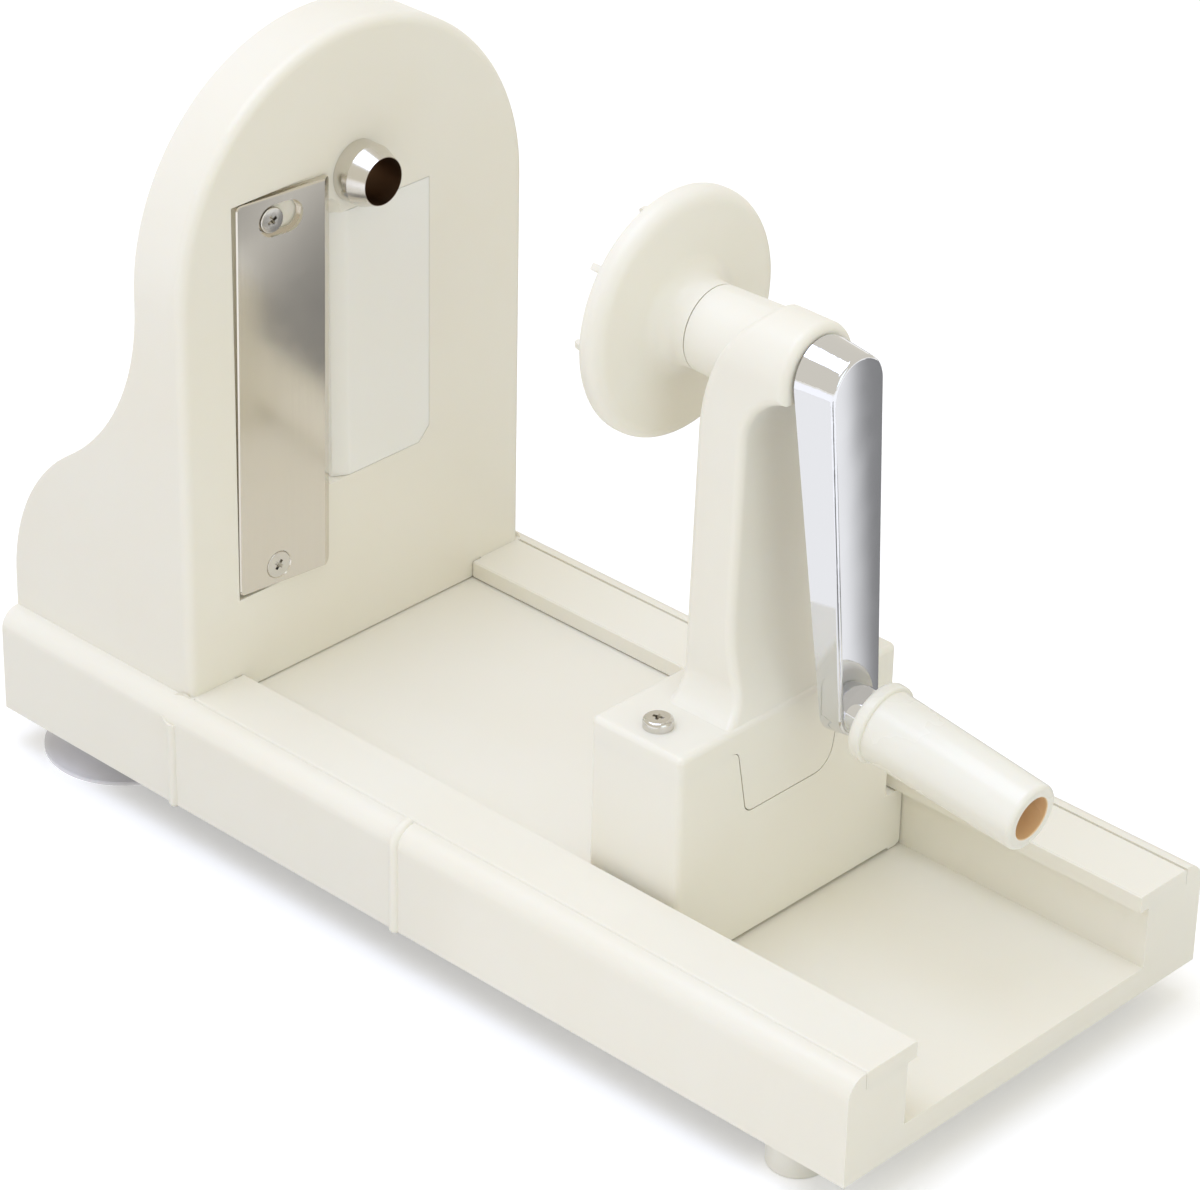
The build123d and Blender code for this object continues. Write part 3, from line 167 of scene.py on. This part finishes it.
class Finish:
    """A material of the slicer: a Principled shader, its constants and its wires."""

    def __init__(self, name, base, **constants):
        self.material = bpy.data.materials.new(name)
        self.material.use_nodes = True
        self.tree = self.material.node_tree
        self.shader = self.tree.nodes["Principled BSDF"]
        place = self.tree.nodes.new("ShaderNodeTexCoord")
        self.place = Wire(self.tree, place.outputs["Object"])
        self.shader.inputs["Base Color"].default_value = (*base, 1.0)
        for socket, value in constants.items():
            self.shader.inputs[socket.replace("_", " ")].default_value = value

    def feed(self, socket, wire):
        """Let a wire drive one input of the shader."""
        self.tree.links.new(wire.socket, self.shader.inputs[socket])

    def bump(self, height, distance, strength=1.0):
        """Raise the surface by a height from 0 to 1, times a distance in metres."""
        normal = height.node(
            "ShaderNodeBump", Strength=strength, Distance=distance, Height=height
        )
        self.feed("Normal", normal)

    def on(self, *names):
        """Give this finish to CAD nodes, which keep their shape and place."""
        for name in names:
            piece = nodes[name]
            piece.data.materials.clear()
            piece.data.materials.append(self.material)
        print(self.material.name, "->", ", ".join(names))


def shade(r, g, b):
    """A colour picked on screen, from 0 to 255, as the linear light that a shader takes."""
    return tuple(
        c / 12.92 if c <= 0.04045 else ((c + 0.055) / 1.055) ** 2.4
        for c in (r / 255, g / 255, b / 255)
    )


# %% [markdown]
# ## Ivory plastic
# The body is moulded in a warm ivory ABS. Its mould is polished, so the faces are
# smooth with a soft sheen, yet never perfectly even: the surface rolls slightly
# where thick ribs sink behind it, and handling leaves faint, broad changes of
# gloss. A fine grain breaks the highlights. All of this is far smaller than the
# shapes, so it is shader work and no geometry.

# %% Ivory plastic
CLOUD_SCALE = 22.0       # broad clouds of a slightly warmer tone, about 45 mm across
WARMER = (0.99, 0.975, 0.94)
HANDLED_SCALE = 60.0     # patches of changed gloss
HANDLED = 0.12           # and how much the roughness changes between them
ROLL_SCALE = 38.0        # the slow roll over the ribs
ROLL_HEIGHT = 0.06 * MM
GRAIN_SCALE = 2600.0     # the moulded grain, under half a millimetre
GRAIN_SHARE = 0.05       # its height, as a share of the roll's


def ivory(name, colour, roughness):
    """Satin ivory plastic with a fine moulded grain and a slow roll of the surface."""
    plastic = Finish(
        name,
        colour,
        IOR=1.5,
        Subsurface_Weight=0.12,
        Subsurface_Radius=(1.0, 0.75, 0.45),
        Subsurface_Scale=1.8 * MM,
    )
    warmer = tuple(c * factor for c, factor in zip(colour, WARMER))
    warmth = plastic.place.noise(CLOUD_SCALE, 3.0).step(0.35, 0.7) * 0.5
    plastic.feed("Base Color", warmth.blend((*colour, 1), (*warmer, 1)))
    handled = plastic.place.noise(HANDLED_SCALE, 3.0) * HANDLED
    plastic.feed("Roughness", handled + (roughness - HANDLED / 2))
    roll = plastic.place.noise(ROLL_SCALE, 1.0)
    grain = plastic.place.noise(GRAIN_SCALE, 2.0)
    plastic.bump(roll + grain * GRAIN_SHARE, ROLL_HEIGHT, 0.6)
    return plastic


IVORY = shade(241, 238, 226)
body_plastic = ivory("ivory_plastic", IVORY, 0.36)
body_plastic.on("base_tray", "rail_cap_left", "rail_cap_right", "blade_housing")
body_plastic.on("carriage", "crank_stand", "food_holder")
insert_plastic = ivory("insert_plastic", shade(245, 245, 240), 0.22)
insert_plastic.on("throat_plate")
foot_plastic = ivory("foot_plastic", shade(238, 236, 226), 0.5)
foot_plastic.on("front_foot_left", "front_foot_right")

# %% [markdown]
# ### The grip's warm bore
# The grip is a shade paler and glossier than the body, because hands polish it.
# Light that enters its open end bounces about inside the thin wall and comes back
# warm. A lamp inside the bore would fake that, but colouring the wall by its
# distance from the grip's own axis does the same and turns with the grip.

# %% Grip plastic
joints = {joint["name"]: joint for joint in frame["record"]["behaviour"]["joints"]}
GRIP_PLACE = joints["grip_spin"]["pos_m"]
GRIP_AXIS = joints["grip_spin"]["axis"]
GRIP_BORE = 5.15 * MM    # the bore's radius
BORE_EDGE = 0.35 * MM    # the width over which its tone gives way to the ivory
GRIP_IVORY = shade(242, 240, 229)
BORE_TONE = shade(240, 206, 160)

grip_plastic = ivory("grip_plastic", GRIP_IVORY, 0.27)
from_axis = grip_plastic.place.from_line(GRIP_PLACE, GRIP_AXIS)
outside = from_axis.step(GRIP_BORE, GRIP_BORE + BORE_EDGE)
CLOUDED = 0.03           # how far the tone dims between its clouds
cloud = grip_plastic.place.noise(40.0, 3.0) * CLOUDED + (1.0 - CLOUDED)
inner = cloud.blend((0, 0, 0, 1), (*BORE_TONE, 1))
outer = cloud.blend((0, 0, 0, 1), (*GRIP_IVORY, 1))
grip_plastic.feed("Base Color", outside.blend(inner, outer))
grip_plastic.on("grip")

# %% [markdown]
# ## Ground steel
# The blade is cut from rolled strip and finely ground lengthwise, which leaves a
# satin face with hairlines too fine to count. They could be an image, but noise
# stretched a hundredfold along one axis gives the same lines at any scale. The
# tube is turned on a lathe, so its lines run round it, and the screws are small
# enough for plain steel with a little wear. The tube's bore is left rough, and the
# shade inside it is painted as a dark brown, told from the bright outside by its
# distance from the axis.

# %% Ground and turned steel
DULL = 0.86              # the tone in the depth of a hairline, as a share of the steel's
STAIN_SCALE = 90.0       # faint stains, about 11 mm across
STAINED = 0.08           # and how much rougher they are
ROUGH_START = 0.1        # taken off the roughness, because lines and stains add to it
ALONG_BLADE = (2600, 2600, 24)
ROUND_TUBE = (4000, 60, 60)
EVEN = (500, 500, 500)


def hairline_steel(name, colour, roughness, stretch, depth, contrast):
    """Brushed steel whose hairlines run along the axis with the smallest stretch."""
    steel = Finish(name, colour, Metallic=1.0)
    lines = steel.place.scaled(*stretch).noise(1.0, 4.0, 0.6)
    stains = steel.place.noise(STAIN_SCALE, 3.0) * STAINED
    dull = tuple(c * DULL for c in colour)
    worn = lines.step(0.3, 0.75) * contrast
    steel.feed("Base Color", worn.blend((*colour, 1), (*dull, 1)))
    steel.feed("Roughness", lines * (0.2 * contrast) + stains + (roughness - ROUGH_START))
    steel.bump(lines, depth)
    return steel


blade_steel = hairline_steel(
    "blade_steel", shade(222, 217, 207), 0.18, ALONG_BLADE, 0.0003 * MM, 0.15
)
blade_steel.on("blade")

tube_low, tube_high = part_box("coring_tube")
TUBE_PLACE = (0.0, (tube_low[1] + tube_high[1]) / 2, (tube_low[2] + tube_high[2]) / 2)
TUBE_AXIS = (1.0, 0.0, 0.0)
TUBE_BORE = 5.7 * MM
TUBE_EDGE = 0.2 * MM     # the width over which the bore's painted shade gives way to the steel
TUBE_BRIGHT = shade(222, 219, 213)
TUBE_RING = shade(196, 190, 182)
# painted shade: the dark brown of the tube's inside
TUBE_BORE_SHADE = shade(132, 106, 82)
BORE_ROUGH = 0.36
POLISH = -0.2            # how much smoother the outside is than the bore

tube_steel = hairline_steel("tube_steel", TUBE_BRIGHT, 0.2, ROUND_TUBE, 0.002 * MM, 0.6)
from_axis = tube_steel.place.from_line(TUBE_PLACE, TUBE_AXIS)
outside = from_axis.step(TUBE_BORE, TUBE_BORE + TUBE_EDGE)
rings = tube_steel.place.scaled(3000, 40, 40).noise(1.0, 3.0)
bright = (rings * 0.2).blend((*TUBE_BRIGHT, 1), (*TUBE_RING, 1))
# the bore gets its painted shade, the outside the bright turned steel
tube_steel.feed("Base Color", outside.blend((*TUBE_BORE_SHADE, 1), bright))
tube_steel.feed("Roughness", outside * POLISH + rings * STAINED + BORE_ROUGH)
tube_steel.on("coring_tube")

screw_steel = hairline_steel(
    "screw_steel", shade(218, 215, 209), 0.2, EVEN, 0.003 * MM, 0.3
)
screw_steel.on("housing_screws", "drive_shaft", "holder_screw", "grip_pin", "grip_washer")

# %% [markdown]
# ## The screws that show
# Two screws hold the blade and two the crank's stand. Their heads are pressed in
# dies, which leaves a soft rim, and the driver's cross is punched with tapering
# wings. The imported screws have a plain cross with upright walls. A bump could hide
# that, but a real recess catches the light as the photograph shows, so each kind of
# screw is modelled: a blank drawn in to its shank, less a punch of two crossed wings.

# %% One screw
CROSS_HALF = 1.9 * MM    # half the width of the cross at the head's face
CROSS_DEEP = 1.25 * MM   # how deep the punch went
WING_HALF = 0.42 * MM    # half the thickness of a wing
TAPER = 0.42             # a wing's width at its foot, as a share of its width above
SHANK_RADIUS = 2.0 * MM
ROUND_SIDES = 48
RIM_STEPS = 6
FLAT = 0.9               # a face that looks up or down has more than this in its normal
SOFT_ANGLE = radians(32) # edges sharper than this stay crisp


def pick(mesh, wanted):
    """In edit mode, select only the faces whose middle and normal are wanted."""
    bpy.ops.mesh.select_mode(type="FACE")
    bpy.ops.mesh.select_all(action="DESELECT")
    bpy.ops.object.mode_set(mode="OBJECT")
    for face in mesh.polygons:
        face.select = wanted(face.center, face.normal)
    bpy.ops.object.mode_set(mode="EDIT")


def punch():
    """Two crossed wings that taper downward and reach from the head's face both ways."""
    wings = []
    for turn, narrowed in ((0.0, (TAPER, 1.0, 1.0)), (radians(90), (1.0, TAPER, 1.0))):
        bpy.ops.object.select_all(action="DESELECT")
        bpy.ops.mesh.primitive_cube_add(size=2.0)
        wing = bpy.context.active_object
        wing.scale = (CROSS_HALF, WING_HALF, CROSS_DEEP)
        wing.rotation_euler = (0.0, 0.0, turn)
        bpy.ops.object.transform_apply(location=False, rotation=True, scale=True)
        bpy.ops.object.mode_set(mode="EDIT")
        pick(wing.data, lambda middle, normal: normal.z < -FLAT)
        bpy.ops.transform.resize(value=narrowed)
        bpy.ops.object.mode_set(mode="OBJECT")
        wings.append(wing)
    return wings


def blank(radius, height, length, rim):
    """A head with a soft rim, its face at height 0, drawn in below to a round shank."""
    bpy.ops.object.select_all(action="DESELECT")
    bpy.ops.mesh.primitive_cylinder_add(
        vertices=ROUND_SIDES, radius=radius, depth=height, location=(0, 0, -height / 2)
    )
    screw = bpy.context.active_object
    bpy.ops.object.transform_apply(location=True)
    bpy.ops.object.mode_set(mode="EDIT")
    pick(screw.data, lambda middle, normal: normal.z > FLAT)
    bpy.ops.mesh.select_mode(type="EDGE")
    bpy.ops.mesh.bevel(offset=rim, segments=RIM_STEPS, affect="EDGES")
    pick(screw.data, lambda middle, normal: normal.z < -FLAT)
    bpy.ops.mesh.inset(thickness=radius - SHANK_RADIUS)
    bpy.ops.mesh.extrude_region_move(TRANSFORM_OT_translate={"value": (0, 0, -length)})
    bpy.ops.mesh.select_all(action="SELECT")
    bpy.ops.mesh.normals_make_consistent(inside=False)
    bpy.ops.object.mode_set(mode="OBJECT")
    return screw


def in_its_hole(node, axis):
    """Where a packed screw stands: how its axis is turned, its face's middle, its length."""
    upright = axis.to_track_quat("Z", "X").to_matrix()
    points = [upright.inverted() @ vertex.co for vertex in nodes[node].data.vertices]
    low = [min(point[i] for point in points) for i in range(3)]
    high = [max(point[i] for point in points) for i in range(3)]
    face = Vector(((low[0] + high[0]) / 2, (low[1] + high[1]) / 2, high[2]))
    return upright, upright @ face, high[2] - low[2]


def cross_screw(radius, height, rim, whole):
    """A whole screw with its cross, its face at height 0 and its axis upright."""
    screw = blank(radius, height, whole - height, rim)
    wings = punch()
    for wing in wings:
        cut = screw.modifiers.new("cross", "BOOLEAN")
        cut.object = wing
        cut.operation = "DIFFERENCE"
        bpy.context.view_layer.objects.active = screw
        bpy.ops.object.modifier_apply(modifier=cut.name)
    for wing in wings:
        bpy.data.objects.remove(wing)
    return screw


def drive(screw, node, body, axis, turn):
    """Set a screw in place of a packed one, with its cross turned as its driver left it."""
    upright, face, whole = in_its_hole(node, axis)
    turned = upright @ Matrix.Rotation(turn, 3, "Z")
    screw.data.transform(Matrix.LocRotScale(face, turned, None))
    bpy.ops.object.select_all(action="DESELECT")
    screw.select_set(True)
    bpy.context.view_layer.objects.active = screw
    bpy.ops.object.shade_smooth_by_angle(angle=SOFT_ANGLE)

    screw.name = f"{node}_head"
    screw.data.materials.append(screw_steel.material)
    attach(screw, body)
    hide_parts(node)
    print(screw.name, "stands for", node, "faces:", len(screw.data.polygons))


# %% [markdown]
# ### Driven home
# The blade's two screws have low heads, one in a slot and one in a countersink, and
# follow the blade's tilt, which is read from its largest face. The stand's two are
# alike, with tall round heads, so one is made and the other is a copy of it. No two
# crosses point the same way, because a driver stops where the screw is tight.

# %% The four screws in place
blade_face = max(nodes["blade"].data.polygons, key=lambda face: face.area * face.normal.x)
OUT = blade_face.normal.copy()
UP = Vector((0, 0, 1))
LOW_HEAD = 1.3 * MM
TALL_HEAD = 2.4 * MM

for node, radius, rim, turn in (
    ("blade_clamp_screw", 3.2 * MM, 0.35 * MM, radians(28)),
    ("blade_pivot_screw", 3.3 * MM, 0.2 * MM, radians(52)),
):
    whole = in_its_hole(node, OUT)[2]
    drive(cross_screw(radius, LOW_HEAD, rim, whole), node, "base", OUT, turn)

whole = in_its_hole("stand_screw_left", UP)[2]
left_screw = cross_screw(3.5 * MM, TALL_HEAD, 1.0 * MM, whole)
right_screw = left_screw.copy()
right_screw.data = left_screw.data.copy()
bpy.context.collection.objects.link(right_screw)
drive(left_screw, "stand_screw_left", "carriage", UP, radians(18))
drive(right_screw, "stand_screw_right", "carriage", UP, radians(61))

# %% [markdown]
# ## Chrome plate
# The arm is cast, polished and chrome plated. Plating follows the casting, and
# the casting is never dead flat, so the reflections swim a little. A mirror with
# a slow, shallow roll under it gives that without any change to the shape.

# %% Chrome plate
SWIM_SCALE = 45.0        # the casting's slow waves, about 22 mm long
SWIM_HEIGHT = 0.06 * MM
SMEAR_SCALE = 180.0      # finger smears

chrome = Finish("chrome_plate", shade(226, 227, 231), Metallic=1.0)
chrome.feed("Roughness", chrome.place.noise(SMEAR_SCALE, 3.0) * 0.03 + 0.035)
chrome.bump(chrome.place.noise(SWIM_SCALE, 1.0), SWIM_HEIGHT, 0.6)
chrome.on("crank_arm")

# %% [markdown]
# ## Clear soft vinyl
# The suction cups are moulded in clear vinyl. It bends light only a little in so
# thin a wall, and it has a faint lilac cast. True refraction could be used, but it
# gathers the dark underside of the base, so a glossy, mostly see-through skin
# stands for it: each wall that the eye looks through adds a little of its cast,
# which draws the rim as real cups show it.

# %% Clear vinyl
SKIN = 0.55              # how much of the light behind a wall it keeps back
RIPPLE_SCALE = 300.0

vinyl = Finish("clear_vinyl", shade(250, 249, 255), Alpha=SKIN, IOR=1.45)
vinyl.feed("Roughness", vinyl.place.noise(RIPPLE_SCALE) * 0.1 + 0.08)
vinyl.on("suction_cup_left", "suction_cup_right")

# %% [markdown]
# ## The studio
# The slicer stands on a white sweep. The floor is pale and takes the soft shadow.
# Seen straight, in metal or through the vinyl, it is lifted to paper white by
# Light Path, which adds no light to the slicer. The sky is paper white only to the
# camera. To everything else it is warm and even, which gives the shaded sides their
# cream tone.

# %% Floor and world
FLOOR_HALF = 6.0
FLOOR_PALE = (0.86, 0.86, 0.86)
FLOOR_LIFT = 0.3         # what lifts the lit floor to paper white
BLACK = (0.0, 0.0, 0.0, 1.0)
WHITE = (1.0, 1.0, 1.0, 1.0)

bpy.ops.object.select_all(action="DESELECT")
bpy.ops.mesh.primitive_plane_add(size=2 * FLOOR_HALF)
floor = bpy.context.active_object
floor.name = "floor"
floor_finish = Finish(
    "studio_floor", FLOOR_PALE, Roughness=0.9, Specular_IOR_Level=0.0, Emission_Strength=1.0
)
light_path = floor_finish.tree.nodes.new("ShaderNodeLightPath")
seen, mirrored, through = [
    Wire(floor_finish.tree, light_path.outputs[f"Is {kind} Ray"])
    for kind in ("Camera", "Glossy", "Transmission")
]
lift = (seen + mirrored + through).math("MINIMUM", 1.0) * FLOOR_LIFT
floor_finish.feed("Emission Color", lift.blend(BLACK, WHITE))
floor.data.materials.append(floor_finish.material)

world = bpy.data.worlds.new("studio")
bpy.context.scene.world = world
world.use_nodes = True
sky = world.node_tree.nodes["Background"]
SKY_LIGHT = (0.767, 0.729, 0.635)
light_path = world.node_tree.nodes.new("ShaderNodeLightPath")
seen = Wire(world.node_tree, light_path.outputs["Is Camera Ray"])
backdrop = seen.blend((*SKY_LIGHT, 1), WHITE)
world.node_tree.links.new(backdrop.socket, sky.inputs["Color"])
print("sky light", SKY_LIGHT)

# %% [markdown]
# ### Soft lamps
# Cooler soft lamps above, to the left and in front whiten what they strike, so each
# direction that a face looks in has its own tone. The sky and the top lamp were fitted
# to the tones of the photograph's faces, one colour at a time. The left and front
# lamps were then set.

# %% Lamps
LAMP_AIM = Vector((0, 0, 0.08))


def softbox(name, place, powers, size, mirrored=True):
    """A square soft lamp, aimed at the slicer, with its red, green and blue watts.
    One that isn't mirrored lights the slicer but leaves no patch in its metal."""
    lamp = bpy.data.lights.new(name, "AREA")
    power = max(powers)
    lamp.energy = power
    lamp.color = [watts / power for watts in powers]
    lamp.size = size
    stand = bpy.data.objects.new(name, lamp)
    stand.location = place
    stand.visible_glossy = mirrored
    aim = LAMP_AIM - Vector(place)
    stand.rotation_euler = aim.to_track_quat("-Z", "Y").to_euler()
    bpy.context.collection.objects.link(stand)
    print(name, "at", place, power, "W")


softbox("top_lamp", (-0.2, -0.3, 1.6), (7.3, 8.4, 12.0), 1.2)
softbox("left_lamp", (-0.5, -1.5, 0.8), (1.8, 2.1, 3.2), 1.0, mirrored=False)
softbox("front_lamp", (1.0, -0.15, 0.45), (0.75, 0.95, 1.15), 0.6)
bpy.context.scene.view_settings.view_transform = "Standard"

# %% [markdown]
# ## Dark cards for the metal
# Polished metal shows only what stands round it, and in a white studio that is
# nothing. A photographer lays dark cards beside the object, out of the picture.
# Two lie here: a broad one behind, which greys the blade's upper half and one side
# of the arm's face, and a strip in front, which darkens the arm's rounded edge. They
# are placed for the photograph's view. Only reflections see them, and they cast no
# shadow.

# %% Dark cards
# The cards are unlit and glow at set levels: what they show in the metal is painted
# reflection.
CARD_DARK = 0.28         # how much light a card gives off, a painted dark reflection
CARD_EDGE = 1.05         # and its feathered edge, a painted light reflection that melts into the floor
CARD_LIFT = 0.4 * MM


def card(name, middle, toward, size, shape):
    """A card on the floor that only reflections see. It lies with its own X toward
    a direction, and is dark where the shape, worked out from its X and Y, is 1."""
    bpy.ops.object.select_all(action="DESELECT")
    bpy.ops.mesh.primitive_plane_add(size=1.0, location=(*middle, CARD_LIFT))
    sheet = bpy.context.active_object
    sheet.name = name
    sheet.scale = (*size, 1.0)
    sheet.rotation_euler = (0.0, 0.0, -Vector((1, 0)).angle_signed(toward))
    bpy.ops.object.transform_apply(location=False, rotation=False, scale=True)
    for kind in ("camera", "diffuse", "transmission", "volume_scatter", "shadow"):
        setattr(sheet, f"visible_{kind}", False)
    finish = Finish(
        name, BLACK[:3], Roughness=1.0, Specular_IOR_Level=0.0, Emission_Strength=1.0
    )
    x, y, z = finish.place.parts()
    levels = [(level, level, level, 1.0) for level in (CARD_EDGE, CARD_DARK)]
    finish.feed("Emission Color", shape(x, y).blend(*levels))
    sheet.data.materials.append(finish.material)
    print(name, "at", middle)


# the first lies behind the slicer. Each edge below is a place on it in metres, given as
# where it is still light and where it is fully dark.
AWAY = Vector((-0.748, 0.664))
ARM_SPOT = Vector((0.215, 0.145))    # what the middle of the arm's face mirrors
BACK_SIZE = (0.70, 1.2)
BACK_OFFSET = 0.25
ARM_EDGE = (-0.2395, -0.231)         # runs down the middle of the arm's mirror image
OUTER_EDGE = (-0.34, -0.32)
FAR_END = (0.22, 0.20)
BLADE_END = (0.070, 0.085)           # the blade looks beyond it, the arm's face doesn't
LEFT_EDGE = (-0.246, -0.250)         # the other side of the light band that the arm sees
LEFT_END = (-0.035, -0.025)


def back_shape(x, y):
    """Dark beyond the arm's edge, and in two patches before it, which the blade sees."""
    before = y.step(*FAR_END) * x.step(*OUTER_EDGE)
    far = y.step(*BLADE_END) * before
    left = x.step(*LEFT_EDGE) * y.step(*LEFT_END) * before
    return x.step(*ARM_EDGE).math("MAXIMUM", far).math("MAXIMUM", left)


card("back_card", ARM_SPOT + AWAY * BACK_OFFSET, AWAY, BACK_SIZE, back_shape)

# the second is a strip under the arm's rounded edge, which looks half left, half forward
ACROSS = Vector((0.683, 0.730))
STRIP_SPOT = Vector((0.245, -0.167))
STRIP_SIZE = (0.12, 0.36)
STRIP_EDGE = (0.055, 0.035)


def strip_shape(x, y):
    """Dark along the middle, light at both long sides."""
    return x.step(-STRIP_EDGE[0], -STRIP_EDGE[1]) * x.step(*STRIP_EDGE)


card("edge_strip", STRIP_SPOT, ACROSS, STRIP_SIZE, strip_shape)
